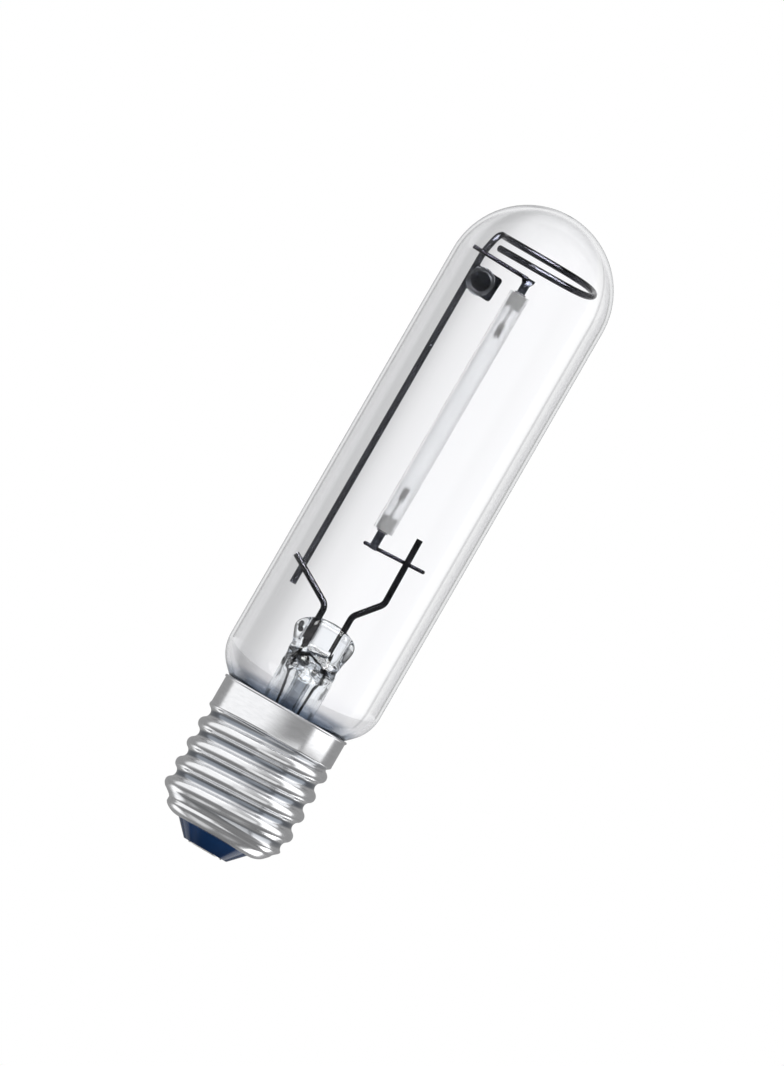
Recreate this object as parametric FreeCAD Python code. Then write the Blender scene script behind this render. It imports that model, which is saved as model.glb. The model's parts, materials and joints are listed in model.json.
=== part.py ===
import FreeCAD, Part
import math
import os

# Tubular high-pressure sodium lamp with an E40 screw cap.
# Millimetres. Z is the lamp's axis, from the end contact (Z = 0) to the top of the dome.
# X lies in the plane of the pinch, and the two leads of the stem stand side by side along it.

V = FreeCAD.Vector
Z_AXIS = V(0, 0, 1)
Y_AXIS = V(0, 1, 0)
ORIGIN = V(0, 0, 0)

# Outer bulb
BULB_RADIUS = 24.0
BULB_LENGTH = 204.3
GLASS_WALL = 1.1
SHOULDER_RADIUS = 12.0
SHOULDER_TOP = 56.4
NECK_RADIUS = 17.2
NECK_FILLET = 3.0
NECK_END = 36.8
CONE_ANGLE = math.radians(45.0)

# E40 cap
THREAD_PITCH = 6.35
THREAD_CREST = 19.6
THREAD_ROOT = 17.8
THREAD_ROUND = 1.85
THREAD_PHASE = 2.325
THREAD_FADE_LOW = 8.0
THREAD_FADE_HIGH = 15.0
THREAD_ROW = 0.6
THREAD_COLUMNS = 36
FUSE_GAP = 0.002
SHELL_WALL = 0.4
SHELL_MOUTH = 11.0
SHELL_BOTTOM = 4.7
CURL_RADIUS = 16.2
CURL_TOP = 8.0
ROOT_END = 11.4
SKIRT_RADIUS = 19.15
SKIRT_START = 37.4
SKIRT_STEP = 1.2
CAP_TOP = 45.9
RIM_RADIUS = 19.5
RIM_HEIGHT = 0.8
CEMENT_FOOT = 38.4
CEMENT_TOP = 45.6
SOLDER_RADIUS = 1.7
SOLDER_SINK = 0.35

# Insulator and end contact
CONTACT_RADIUS = 5.3
CONTACT_THICKNESS = 0.7
CONTACT_PROUD = 0.3
CONTACT_HOLE = 1.4
CONTACT_EDGE = 0.15
LEAD_HOLE = 0.6
INSULATOR_TIP = 7.3
INSULATOR_CORNER = 0.5
INSULATOR_TOP = 8.0
INSULATOR_FLOOR = 5.0
INSULATOR_LIP = 7.3

# Stem: flare, pinch and exhaust tube
STEM_RADIUS = 7.8
STEM_WALL = 1.2
FLARE_TOP = 45.0
FLARE_RADIUS = 8.2
STEM_HOLLOW_TOP = 57.4
PINCH_BOTTOM = 56.4
PINCH_TOP = 73.0
PINCH_FOOT = 58.9
PINCH_FOOT_WIDTH = 8.1
PINCH_WAIST = 63.2
PINCH_WAIST_WIDTH = 8.65
PINCH_CHEEK = 66.0
PINCH_CHEEK_WIDTH = 9.3
PINCH_SHOULDER = 69.8
PINCH_SHOULDER_WIDTH = 8.7
PINCH_CROWN = 71.6
PINCH_CROWN_WIDTH = 5.6
PINCH_THICKNESS = 5.0
PASSAGE_TOP = 60.4
OUTLET_RADIUS = 1.1
EXHAUST_RADIUS = 2.5
EXHAUST_BORE = 1.5
EXHAUST_TIP = 20.0

# Wires
LEAD_DIAMETER = 1.85
SEAL_DIAMETER = 0.9
OUTER_LEAD_DIAMETER = 0.8
FRAME_DIAMETER = 1.95
CROSS_ROD_DIAMETER = 1.22
CROSS_WIRE_DIAMETER = 1.1
WELD_SINK = 0.05
LEAD_FOOT = 65.4
LEFT_LEAD_X = -4.95
RIGHT_LEAD_X = 3.05
LEAD_BEND = 3.0
LEFT_SEAL_END = V(-5.2, 0, 57.0)
RIGHT_SEAL_END = V(4.2, 0, 57.0)
FRAME_X = -16.13
FRAME_FOOT = 77.0
FRAME_TOP = 183.6

# Ring at the dome
RING_CENTRE_X = 0.95
RING_RADIUS = 15.6
RING_LEVEL = 188.45
RING_RISE = 1.85
RING_STEP = math.radians(20.0)
RING_START = math.radians(172.0)
RING_CORNERS = 17

# Arc tube
ARC_RADIUS = 2.9
ARC_WALL = 0.75
ARC_BOTTOM = 102.1
ARC_TOP = 178.3
ARC_BOTTOM_X = -1.55
ARC_TOP_X = -1.33
PLUG_LENGTH = 4.5
NIOBIUM_RADIUS = 1.22
NIOBIUM_BORE = 0.95
NIOBIUM_LOW_END = 96.2
NIOBIUM_FLOOR = 0.8
CRIMP_START = 181.4
CRIMP_FLAT = 182.7
CRIMP_TOP = 183.5
CRIMP_HALF_WIDTH = 1.95
CRIMP_HALF_THICKNESS = 0.35
FRIT_RADIUS = 1.65
FRIT_HEIGHT = 0.45
ROD_RADIUS = 0.42
COIL_WIRE = 0.5
COIL_PITCH = 0.54
COIL_LENGTH = 4.3
ELECTRODE_REACH = 14.1
PELLET_RADIUS = 0.7

# Getter
GETTER_X = -12.25
GETTER_Z = 176.0
GETTER_WIDTH = 9.3
GETTER_HEIGHT = 7.4
GETTER_CORNER = 0.9
GETTER_THICKNESS = 0.3
GETTER_TILT = 3.0
CUP_X = -12.7
CUP_Z = 176.0
CUP_OUTER = 4.1
CUP_INNER = 2.8
CUP_DEPTH = 0.9
CUP_WALL = 0.3

# Depth of the mount's wires, worked out from the wires that are welded to each other
FRAME_Y = (LEAD_DIAMETER + FRAME_DIAMETER) / 2 - WELD_SINK
CROSS_WIRE_Y = (LEAD_DIAMETER + CROSS_WIRE_DIAMETER) / 2 - WELD_SINK
ARC_Y = CROSS_WIRE_Y - CROSS_WIRE_DIAMETER / 2 - NIOBIUM_RADIUS + WELD_SINK
ROD_AT_FRAME_Y = FRAME_Y - (FRAME_DIAMETER + CROSS_ROD_DIAMETER) / 2 + WELD_SINK
ROD_AT_CRIMP_Y = ARC_Y - CRIMP_HALF_THICKNESS - CROSS_ROD_DIAMETER / 2 + WELD_SINK
GETTER_Y = FRAME_Y - FRAME_DIAMETER / 2 - GETTER_THICKNESS / 2 + WELD_SINK


def flat(point):
    """A (radius, height) pair as a point of the XZ plane."""
    return V(point[0], 0, point[1])


def on_circle(centre, radius, degrees):
    turn = math.radians(degrees)
    return (centre[0] + radius * math.cos(turn), centre[1] + radius * math.sin(turn))


def outline_edges(start, steps):
    """Edges in the XZ plane. A step is an end point, or (kind, helper point, end point)."""
    edges = []
    here = start
    for step in steps:
        if step[0] == "arc":
            _, middle, end = step
            edges.append(Part.Arc(flat(here), flat(middle), flat(end)).toShape())
        elif step[0] == "quarter":
            _, centre, end = step
            edges.append(quarter_ellipse(here, centre, end))
        else:
            end = step
            edges.append(Part.makeLine(flat(here), flat(end)))
        here = end
    return edges


def quarter_ellipse(start, centre, end):
    """Quarter of an ellipse with its axes along X and Z."""
    half_width = max(abs(start[0] - centre[0]), abs(end[0] - centre[0]))
    half_height = max(abs(start[1] - centre[1]), abs(end[1] - centre[1]))
    side = flat((centre[0] + half_width, centre[1]))
    foot = flat((centre[0], centre[1] - half_height))
    return Part.ArcOfEllipse(Part.Ellipse(side, foot, flat(centre)), 0, math.pi / 2).toShape()


def outline(start, *steps):
    """Closed face in the XZ plane."""
    closing = () if steps[-1][-1] == start else (start,)
    edges = outline_edges(start, steps + closing)
    return Part.Face(Part.Wire(Part.__sortEdges__(edges)))


def turned(start, *steps):
    """Solid of revolution about Z."""
    return outline(start, *steps).revolve(ORIGIN, Z_AXIS, 360)


def cylinder(radius, low, high, x=0.0, y=0.0):
    return Part.makeCylinder(radius, high - low, V(x, y, low), Z_AXIS)


def route(points, radius):
    """Straight runs joined by tangent arcs, each of the given radius or the largest that its runs allow."""
    edges = []
    here = points[0]
    for index in range(1, len(points) - 1):
        corner = points[index]
        run_in = corner - points[index - 1]
        run_out = points[index + 1] - corner
        room_in = run_in.Length if index == 1 else run_in.Length / 2
        room_out = run_out.Length if index == len(points) - 2 else run_out.Length / 2
        run_in.normalize()
        run_out.normalize()
        half_turn = run_in.getAngle(run_out) / 2
        reach = min(radius * math.tan(half_turn), 0.999 * room_in, 0.999 * room_out)
        bend = reach / math.tan(half_turn)
        inwards = run_out - run_in
        inwards.normalize()
        start = corner - run_in * reach
        middle = corner + inwards * (bend / math.cos(half_turn) - bend)
        end = corner + run_out * reach
        if (start - here).Length > 0.001:
            edges.append(Part.makeLine(here, start))
        edges.append(Part.Arc(start, middle, end).toShape())
        here = end
    edges.append(Part.makeLine(here, points[-1]))
    return Part.Wire(edges)


def bent_wire(points, diameter, bend):
    """Round wire along a route."""
    path = route(points, bend)
    section = Part.Wire(Part.makeCircle(diameter / 2, points[0], points[1] - points[0]))
    solid = path.makePipeShell([section], True, True)
    ratio = solid.Volume / (math.pi * diameter ** 2 / 4 * path.Length)
    print("wire of", round(path.Length, 1), "mm, volume over section times length", round(ratio, 4))
    return solid


# --- Cap ------------------------------------------------------------------------------------


def ease(value, low, high):
    """Smooth step from 0 at low to 1 at high."""
    part = min(max((value - low) / (high - low), 0.0), 1.0)
    return part * part * (3 - 2 * part)


def wave(height):
    """Rolled thread's height over its root: equal arcs for crest and groove, tangent to each other."""
    quarter = THREAD_PITCH / 4
    offset = abs((height + THREAD_PITCH / 2) % THREAD_PITCH - THREAD_PITCH / 2)
    if offset <= quarter:
        return THREAD_CREST - THREAD_ROOT - THREAD_ROUND + math.sqrt(THREAD_ROUND ** 2 - offset ** 2)
    return THREAD_ROUND - math.sqrt(THREAD_ROUND ** 2 - (THREAD_PITCH / 2 - offset) ** 2)


def shell_radius(turn, height):
    """Outer radius of the shell between the curl and the skirt, at an angle of turn radians."""
    root = CURL_RADIUS + (THREAD_ROOT - CURL_RADIUS) * ease(height, CURL_TOP, ROOT_END)
    ridge = wave(height - THREAD_PHASE - THREAD_PITCH * turn / (2 * math.pi))
    threaded = root + ridge * ease(height, THREAD_FADE_LOW, THREAD_FADE_HIGH)
    blend = ease(height, SKIRT_START - SKIRT_STEP, SKIRT_START)
    return threaded + (SKIRT_RADIUS - threaded) * blend


def thread_face(inset):
    """Threaded face of the shell, right-handed: a cubic surface that closes on itself round Z."""
    rows = round((SKIRT_START - CURL_TOP) / THREAD_ROW)
    step = (SKIRT_START - CURL_TOP) / rows
    knots = [0.0] * 4 + [float(row) for row in range(1, rows)] + [float(rows)] * 4
    swell = 3 / (2 + math.cos(2 * math.pi / THREAD_COLUMNS))
    poles = []
    for column in range(THREAD_COLUMNS):
        turn = 2 * math.pi * column / THREAD_COLUMNS
        line = []
        for row in range(rows + 3):
            height = CURL_TOP + step * sum(knots[row + 1:row + 4]) / 3
            radius = (shell_radius(turn, height) - inset) * swell
            line.append(V(radius * math.cos(turn), radius * math.sin(turn), height))
        poles.append(line)
    surface = Part.BSplineSurface()
    surface.buildFromPolesMultsKnots(
        poles,
        [1] * (THREAD_COLUMNS + 1),
        [4] + [1] * (rows - 1) + [4],
        [float(column) for column in range(THREAD_COLUMNS + 1)],
        [float(row) for row in range(rows + 1)],
        True,
        False,
        3,
        3,
    )
    return surface.toShape()


def threaded_band():
    """The rolled thread's thin wall, from the top of the curl to the foot of the plain skirt."""
    outside = thread_face(0)
    inside = thread_face(SHELL_WALL)
    ends = []
    for rings in zip(end_rings(outside), end_rings(inside)):
        ends.append(Part.Face([Part.Wire(ring) for ring in rings]))
    return Part.Solid(Part.Shell([outside, inside] + ends))


def end_rings(face):
    """The lower and the upper closed edge of a face that closes round Z."""
    return sorted([edge for edge in face.Edges if edge.isClosed()], key=lambda edge: edge.BoundBox.ZMin)


def cap_shell(side_lead):
    """Thin shell: an open mouth below, thread, plain skirt, and a small bead round its rim."""
    inner_curl = CURL_RADIUS - SHELL_WALL
    inner_skirt = SKIRT_RADIUS - SHELL_WALL
    bead_foot = CAP_TOP - RIM_HEIGHT
    curl = turned(
        (inner_curl, CURL_TOP),
        ("quarter", (SHELL_MOUTH, CURL_TOP), (SHELL_MOUTH, SHELL_BOTTOM + SHELL_WALL)),
        (SHELL_MOUTH, SHELL_BOTTOM),
        ("quarter", (SHELL_MOUTH, CURL_TOP), (CURL_RADIUS, CURL_TOP)),
    )
    skirt = turned(
        (SKIRT_RADIUS, SKIRT_START),
        (SKIRT_RADIUS, bead_foot),
        ("arc", (RIM_RADIUS, bead_foot + RIM_HEIGHT / 2), (SKIRT_RADIUS, CAP_TOP)),
        (inner_skirt, CAP_TOP),
        (inner_skirt, SKIRT_START),
    )
    return threaded_band().fuse([curl, skirt], FUSE_GAP).cut(side_lead)


def cap_insulator():
    """Moulded glass cone that fills the curl of the shell and seats the contact plate."""
    return turned(
        (LEAD_HOLE, CONTACT_THICKNESS),
        (CONTACT_RADIUS, CONTACT_THICKNESS),
        (CONTACT_RADIUS, CONTACT_PROUD),
        (INSULATOR_TIP - INSULATOR_CORNER, CONTACT_PROUD),
        (INSULATOR_TIP, CONTACT_PROUD + INSULATOR_CORNER),
        (SHELL_MOUTH, SHELL_BOTTOM),
        (SHELL_MOUTH, SHELL_BOTTOM + SHELL_WALL),
        ("quarter", (SHELL_MOUTH, CURL_TOP), (CURL_RADIUS - SHELL_WALL, INSULATOR_TOP)),
        (INSULATOR_LIP, INSULATOR_TOP),
        (CONTACT_RADIUS, INSULATOR_FLOOR),
        (LEAD_HOLE, INSULATOR_FLOOR),
    )


def contact_plate():
    """Round plate with a hole in its middle for the lead and its solder."""
    return turned(
        (CONTACT_HOLE, 0),
        (CONTACT_RADIUS - CONTACT_EDGE, 0),
        (CONTACT_RADIUS, CONTACT_EDGE),
        (CONTACT_RADIUS, CONTACT_THICKNESS),
        (CONTACT_HOLE, CONTACT_THICKNESS),
    )


def contact_solder(centre_lead):
    return cylinder(CONTACT_HOLE, 0, CONTACT_THICKNESS).cut(centre_lead)


def side_lead_height():
    """Height of the groove of the thread behind the lamp, just below the skirt."""
    crest = THREAD_PHASE + THREAD_PITCH / 4
    turns = math.floor((SKIRT_START - crest) / THREAD_PITCH)
    return crest + THREAD_PITCH * (turns - 0.5)


def side_solder(shell, side_lead):
    """Drop of solder on the outside of the groove, lower than the crests on either side of it."""
    drop = Part.makeSphere(SOLDER_RADIUS, V(0, THREAD_ROOT - SOLDER_SINK, side_lead_height()))
    pieces = drop.cut(shell).cut(side_lead).Solids
    return max(pieces, key=lambda piece: piece.BoundBox.YMax)


def cap_cement(glass_form):
    """Filling between the skirt and the neck of the bulb."""
    return cylinder(SKIRT_RADIUS - SHELL_WALL, CEMENT_FOOT, CEMENT_TOP).cut(glass_form)


# --- Glass ----------------------------------------------------------------------------------


def bulb_form(inset):
    """The bulb's outer form as a filled solid, every face moved inwards by inset."""
    shoulder = (SHOULDER_RADIUS, SHOULDER_TOP)
    shoulder_round = BULB_RADIUS - SHOULDER_RADIUS
    cone_top = on_circle(shoulder, shoulder_round, -45)
    fillet_foot = NECK_RADIUS + NECK_FILLET * (1 - math.cos(CONE_ANGLE))
    fillet_level = cone_top[1] - (cone_top[0] - fillet_foot) - NECK_FILLET * math.sin(CONE_ANGLE)
    fillet = (NECK_RADIUS + NECK_FILLET, fillet_level)
    dome = (0, BULB_LENGTH - BULB_RADIUS)
    outer = BULB_RADIUS - inset
    return turned(
        (0, NECK_END),
        (NECK_RADIUS - inset, NECK_END),
        (NECK_RADIUS - inset, fillet_level),
        (
            "arc",
            on_circle(fillet, NECK_FILLET + inset, 157.5),
            on_circle(fillet, NECK_FILLET + inset, 135),
        ),
        on_circle(shoulder, shoulder_round - inset, -45),
        ("arc", on_circle(shoulder, shoulder_round - inset, -22.5), (outer, SHOULDER_TOP)),
        (outer, dome[1]),
        ("arc", on_circle(dome, outer, 45), (0, dome[1] + outer)),
    )


def flare():
    """Tube that opens like a trumpet to meet the end of the bulb's neck."""
    centre = (STEM_RADIUS + FLARE_RADIUS, FLARE_TOP)
    under = FLARE_RADIUS + STEM_WALL
    return turned(
        (STEM_RADIUS - STEM_WALL, PINCH_BOTTOM),
        (STEM_RADIUS, PINCH_BOTTOM),
        (STEM_RADIUS, FLARE_TOP),
        ("arc", on_circle(centre, FLARE_RADIUS, 225), on_circle(centre, FLARE_RADIUS, 270)),
        (NECK_RADIUS, FLARE_TOP - FLARE_RADIUS),
        (NECK_RADIUS, FLARE_TOP - under),
        on_circle(centre, under, 270),
        ("arc", on_circle(centre, under, 225), on_circle(centre, under, 180)),
    )


def ellipse_wire(half_width, half_depth, height):
    if math.isclose(half_width, half_depth):
        edge = Part.makeCircle(half_width, V(0, 0, height))
    else:
        edge = Part.Ellipse(V(0, 0, height), half_width, half_depth).toShape()
    return Part.Wire(edge)


def pinch():
    """Flattened end of the stem tube, widest two thirds of the way up, with round shoulders."""
    half = PINCH_THICKNESS / 2
    press = outline(
        (-PINCH_FOOT_WIDTH, PINCH_FOOT),
        (PINCH_FOOT_WIDTH, PINCH_FOOT),
        ("arc", (PINCH_WAIST_WIDTH, PINCH_WAIST), (PINCH_CHEEK_WIDTH, PINCH_CHEEK)),
        ("arc", (PINCH_SHOULDER_WIDTH, PINCH_SHOULDER), (PINCH_CROWN_WIDTH, PINCH_CROWN)),
        ("arc", (0, PINCH_TOP), (-PINCH_CROWN_WIDTH, PINCH_CROWN)),
        ("arc", (-PINCH_SHOULDER_WIDTH, PINCH_SHOULDER), (-PINCH_CHEEK_WIDTH, PINCH_CHEEK)),
        ("arc", (-PINCH_WAIST_WIDTH, PINCH_WAIST), (-PINCH_FOOT_WIDTH, PINCH_FOOT)),
    ).extrude(V(0, PINCH_THICKNESS, 0))
    press.translate(V(0, -half, 0))
    sections = [
        ellipse_wire(STEM_RADIUS, STEM_RADIUS, PINCH_BOTTOM),
        ellipse_wire(STEM_RADIUS + 0.1, STEM_RADIUS - 1.6, PINCH_BOTTOM + 2),
        ellipse_wire(STEM_RADIUS + 0.2, half + 0.6, PINCH_BOTTOM + 6),
    ]
    return press.fuse(Part.makeLoft(sections, True, False))


def stem_glass(wires):
    """Flare and pinch in one piece of glass, with the wires' channels and the exhaust passage."""
    hollow = cylinder(STEM_RADIUS - STEM_WALL, PINCH_BOTTOM - 1, STEM_HOLLOW_TOP)
    passage = cylinder(EXHAUST_BORE, STEM_HOLLOW_TOP - 1, PASSAGE_TOP)
    outlet = Part.makeCylinder(OUTLET_RADIUS, STEM_RADIUS, V(0, 0, PASSAGE_TOP - 1), Y_AXIS)
    glass = flare().fuse(pinch()).cut(hollow).cut(passage).cut(outlet)
    for wire in wires:
        glass = glass.cut(wire)
    return glass


def exhaust_tube():
    """Thin tube, closed by melting at its lower tip."""
    tip = (0, EXHAUST_TIP + EXHAUST_RADIUS)
    return turned(
        (EXHAUST_BORE, STEM_HOLLOW_TOP),
        (EXHAUST_RADIUS, STEM_HOLLOW_TOP),
        (EXHAUST_RADIUS, tip[1]),
        ("arc", on_circle(tip, EXHAUST_RADIUS, -45), (0, EXHAUST_TIP)),
        (0, tip[1] - EXHAUST_BORE),
        ("arc", on_circle(tip, EXHAUST_BORE, -45), (EXHAUST_BORE, tip[1])),
    )


# --- Wires ----------------------------------------------------------------------------------


def left_inner_lead():
    points = [
        V(LEFT_LEAD_X, 0, LEAD_FOOT),
        V(LEFT_LEAD_X, 0, 76.2),
        V(-19.3, 0, 84.6),
    ]
    return bent_wire(points, LEAD_DIAMETER, LEAD_BEND)


def right_inner_lead():
    points = [
        V(RIGHT_LEAD_X, 0, LEAD_FOOT),
        V(RIGHT_LEAD_X, 0, 77.2),
        V(9.1, 0, 84.5),
        V(8.75, 0, 105.1),
    ]
    return bent_wire(points, LEAD_DIAMETER, LEAD_BEND)


def seal_wire(top_x, middle, end):
    """Thin wire from a lead's foot down through the glass into the hollow of the stem."""
    return bent_wire([V(top_x, 0, LEAD_FOOT), middle, end], SEAL_DIAMETER, 4.0)


def left_seal_wire():
    return seal_wire(-4.7, V(-4.5, 0, 60.8), LEFT_SEAL_END)


def right_seal_wire():
    return seal_wire(3.6, V(3.8, 0, 61.0), RIGHT_SEAL_END)


def side_outer_lead():
    """Down the flare, out of its mouth and back to the shell."""
    level = side_lead_height()
    points = [
        LEFT_SEAL_END,
        V(-4.6, 0, 54.4),
        V(-3.3, 0.4, 46.4),
        V(-3.2, 1.5, 38.0),
        V(-1.0, 9.0, level),
        V(0, THREAD_ROOT + 0.2, level),
    ]
    return bent_wire(points, OUTER_LEAD_DIAMETER, 6.0)


def centre_outer_lead():
    """Down beside the exhaust tube to the end contact."""
    points = [
        RIGHT_SEAL_END,
        V(3.8, 0, 54.4),
        V(3.4, 0, 44.0),
        V(3.5, 0, 20.0),
        V(0, 0, 12.0),
        V(0, 0, CONTACT_THICKNESS / 2),
    ]
    return bent_wire(points, OUTER_LEAD_DIAMETER, 8.0)


def ring_corner(number):
    """Corner of the polygon whose arcs make the ring, which falls from its back to its front."""
    turn = RING_START - number * RING_STEP
    reach = RING_RADIUS / math.cos(RING_STEP / 2)
    height = RING_LEVEL + RING_RISE * math.tanh(turn / 0.6)
    return V(RING_CENTRE_X + reach * math.cos(turn), reach * math.sin(turn), height)


def frame_wire():
    """One wire: straight up the lamp's side, then round the dome in an open ring."""
    points = [
        V(FRAME_X, FRAME_Y, FRAME_FOOT),
        V(FRAME_X, FRAME_Y, 130.0),
        V(FRAME_X + 0.02, FRAME_Y, FRAME_TOP),
    ]
    for number in range(RING_CORNERS):
        points.append(ring_corner(number))
    return bent_wire(points, FRAME_DIAMETER, RING_RADIUS)


def upper_cross_rod():
    points = [
        V(-19.3, ROD_AT_FRAME_Y + 0.3, 183.6),
        V(FRAME_X, ROD_AT_FRAME_Y, 183.5),
        V(-1.7, ROD_AT_CRIMP_Y, 183.1),
    ]
    return bent_wire(points, CROSS_ROD_DIAMETER, 20.0)


def lower_cross_wire():
    start = V(-4.1, CROSS_WIRE_Y, 96.8)
    end = V(14.0, CROSS_WIRE_Y, 97.7)
    radius = CROSS_WIRE_DIAMETER / 2
    rod = Part.makeCylinder(radius, (end - start).Length, start, end - start)
    return rod.fuse(Part.makeSphere(radius, start)).fuse(Part.makeSphere(radius, end)).removeSplitter()


# --- Arc tube -------------------------------------------------------------------------------


def in_place(shape):
    """Moves a piece from the Z axis to the arc tube's own axis, which leans very slightly."""
    lean = math.degrees(math.atan2(ARC_TOP_X - ARC_BOTTOM_X, ARC_TOP - ARC_BOTTOM))
    shape.rotate(V(0, 0, ARC_BOTTOM), Y_AXIS, lean)
    shape.translate(V(ARC_BOTTOM_X, ARC_Y, 0))
    return shape


def arc_tube():
    bore = cylinder(ARC_RADIUS - ARC_WALL, ARC_BOTTOM, ARC_TOP)
    return in_place(cylinder(ARC_RADIUS, ARC_BOTTOM, ARC_TOP).cut(bore))


def end_plug(low):
    plug = cylinder(ARC_RADIUS - ARC_WALL, low, low + PLUG_LENGTH)
    return in_place(plug.cut(cylinder(NIOBIUM_RADIUS, low, low + PLUG_LENGTH)))


def frit_seal(low):
    """Thin collar on the end of the arc tube, tight round the niobium tube."""
    collar = cylinder(FRIT_RADIUS, low, low + FRIT_HEIGHT)
    return in_place(collar.cut(cylinder(NIOBIUM_RADIUS, low, low + FRIT_HEIGHT)))


def upper_niobium_tube():
    """Closed round the electrode rod below, crimped to a flat blade above."""
    foot = ARC_TOP - PLUG_LENGTH
    tube = cylinder(NIOBIUM_RADIUS, foot, CRIMP_START)
    sections = [
        ellipse_wire(NIOBIUM_RADIUS, NIOBIUM_RADIUS, CRIMP_START),
        ellipse_wire(CRIMP_HALF_WIDTH, CRIMP_HALF_THICKNESS, CRIMP_FLAT),
    ]
    blade = Part.makeBox(
        2 * CRIMP_HALF_WIDTH,
        2 * CRIMP_HALF_THICKNESS,
        CRIMP_TOP - CRIMP_FLAT,
        V(-CRIMP_HALF_WIDTH, -CRIMP_HALF_THICKNESS, CRIMP_FLAT),
    )
    form = tube.fuse(Part.makeLoft(sections, True, True)).fuse(blade)
    bore = cylinder(NIOBIUM_BORE, foot + 1, CRIMP_START - 0.3)
    rod_hole = cylinder(ROD_RADIUS, foot, foot + 1)
    return in_place(form.cut(bore).cut(rod_hole))


def lower_niobium_tube():
    """Closed at its foot and round the electrode rod above."""
    top = ARC_BOTTOM + PLUG_LENGTH
    tube = cylinder(NIOBIUM_RADIUS, NIOBIUM_LOW_END, top)
    bore = cylinder(NIOBIUM_BORE, NIOBIUM_LOW_END + NIOBIUM_FLOOR, top - 1)
    rod_hole = cylinder(ROD_RADIUS, top - 1, top)
    return in_place(tube.cut(bore).cut(rod_hole))


def electrode_rod(root, tip):
    return in_place(cylinder(ROD_RADIUS, min(root, tip), max(root, tip)))


def electrode_coil(low):
    """Close-wound tungsten coil round the rod."""
    middle = ROD_RADIUS + COIL_WIRE / 2 + 0.02
    spine = Part.makeHelix(COIL_PITCH, COIL_LENGTH - COIL_WIRE, middle)
    section = Part.Wire(Part.makeCircle(COIL_WIRE / 2, V(middle, 0, 0), Y_AXIS))
    coil = Part.Wire(spine.Edges).makePipeShell([section], True, True)
    coil.translate(V(0, 0, low + COIL_WIRE / 2))
    return in_place(coil)


def amalgam_pellet():
    """Bead of sodium amalgam at the foot of the lower niobium tube."""
    return in_place(Part.makeSphere(PELLET_RADIUS, V(0, 0, NIOBIUM_LOW_END + NIOBIUM_FLOOR + PELLET_RADIUS)))


# --- Getter ---------------------------------------------------------------------------------


def getter_plate():
    plate = Part.makeBox(
        GETTER_WIDTH,
        GETTER_THICKNESS,
        GETTER_HEIGHT,
        V(GETTER_X - GETTER_WIDTH / 2, GETTER_Y - GETTER_THICKNESS / 2, GETTER_Z - GETTER_HEIGHT / 2),
    )
    corners = [edge for edge in plate.Edges if abs(edge.Length - GETTER_THICKNESS) < 0.001]
    plate = plate.makeFillet(GETTER_CORNER, corners)
    plate.rotate(V(GETTER_X, 0, GETTER_Z), Y_AXIS, GETTER_TILT)
    return plate


def getter_ring():
    """Ring-shaped channel with its open side away from the plate."""
    floor = CUP_WALL
    section = outline(
        (CUP_INNER, 0),
        (CUP_OUTER, 0),
        (CUP_OUTER, CUP_DEPTH),
        (CUP_OUTER - CUP_WALL, CUP_DEPTH),
        (CUP_OUTER - CUP_WALL, floor),
        (CUP_INNER + CUP_WALL, floor),
        (CUP_INNER + CUP_WALL, CUP_DEPTH),
        (CUP_INNER, CUP_DEPTH),
    )
    ring = section.revolve(ORIGIN, Z_AXIS, 360)
    ring.rotate(ORIGIN, V(1, 0, 0), 90)
    ring.translate(V(CUP_X, GETTER_Y - GETTER_THICKNESS / 2, CUP_Z))
    return ring


# --- Assembly -------------------------------------------------------------------------------


def build():
    glass_form = bulb_form(0)
    side_lead = side_outer_lead()
    shell = cap_shell(side_lead)
    centre_lead = centre_outer_lead()
    left_lead = left_inner_lead()
    right_lead = right_inner_lead()
    left_seal = left_seal_wire()
    right_seal = right_seal_wire()
    upper_tip = ARC_TOP - ELECTRODE_REACH
    lower_tip = ARC_BOTTOM + ELECTRODE_REACH
    return {
        "contact_plate": contact_plate(),
        "contact_solder": contact_solder(centre_lead),
        "cap_insulator": cap_insulator(),
        "cap_shell": shell,
        "side_solder": side_solder(shell, side_lead),
        "cap_cement": cap_cement(glass_form),
        "outer_bulb": glass_form.cut(bulb_form(GLASS_WALL)),
        "stem_glass": stem_glass([left_lead, right_lead, left_seal, right_seal]),
        "exhaust_tube": exhaust_tube(),
        "left_seal_wire": left_seal,
        "right_seal_wire": right_seal,
        "side_outer_lead": side_lead,
        "centre_outer_lead": centre_lead,
        "left_inner_lead": left_lead,
        "right_inner_lead": right_lead,
        "frame_wire": frame_wire(),
        "upper_cross_rod": upper_cross_rod(),
        "lower_cross_wire": lower_cross_wire(),
        "arc_tube": arc_tube(),
        "upper_end_plug": end_plug(ARC_TOP - PLUG_LENGTH),
        "lower_end_plug": end_plug(ARC_BOTTOM),
        "upper_frit_seal": frit_seal(ARC_TOP),
        "lower_frit_seal": frit_seal(ARC_BOTTOM - FRIT_HEIGHT),
        "upper_niobium_tube": upper_niobium_tube(),
        "lower_niobium_tube": lower_niobium_tube(),
        "upper_electrode_rod": electrode_rod(ARC_TOP - 2.5, upper_tip),
        "lower_electrode_rod": electrode_rod(ARC_BOTTOM + 2.5, lower_tip),
        "upper_electrode_coil": electrode_coil(upper_tip + 0.4),
        "lower_electrode_coil": electrode_coil(lower_tip - 0.4 - COIL_LENGTH),
        "amalgam_pellet": amalgam_pellet(),
        "getter_plate": getter_plate(),
        "getter_ring": getter_ring(),
    }


os.makedirs("parts", exist_ok=True)
for name, shape in build().items():
    solids = shape.Solids
    print(name, "solids", len(solids), "valid", shape.isValid(), "volume", round(shape.Volume, 2))
    if len(solids) == 1:
        shape = solids[0]
    shape.exportStep(os.path.join("parts", name + ".step"))
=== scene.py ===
import json
import math

import bpy
from mathutils import Matrix, Vector, noise


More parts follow.
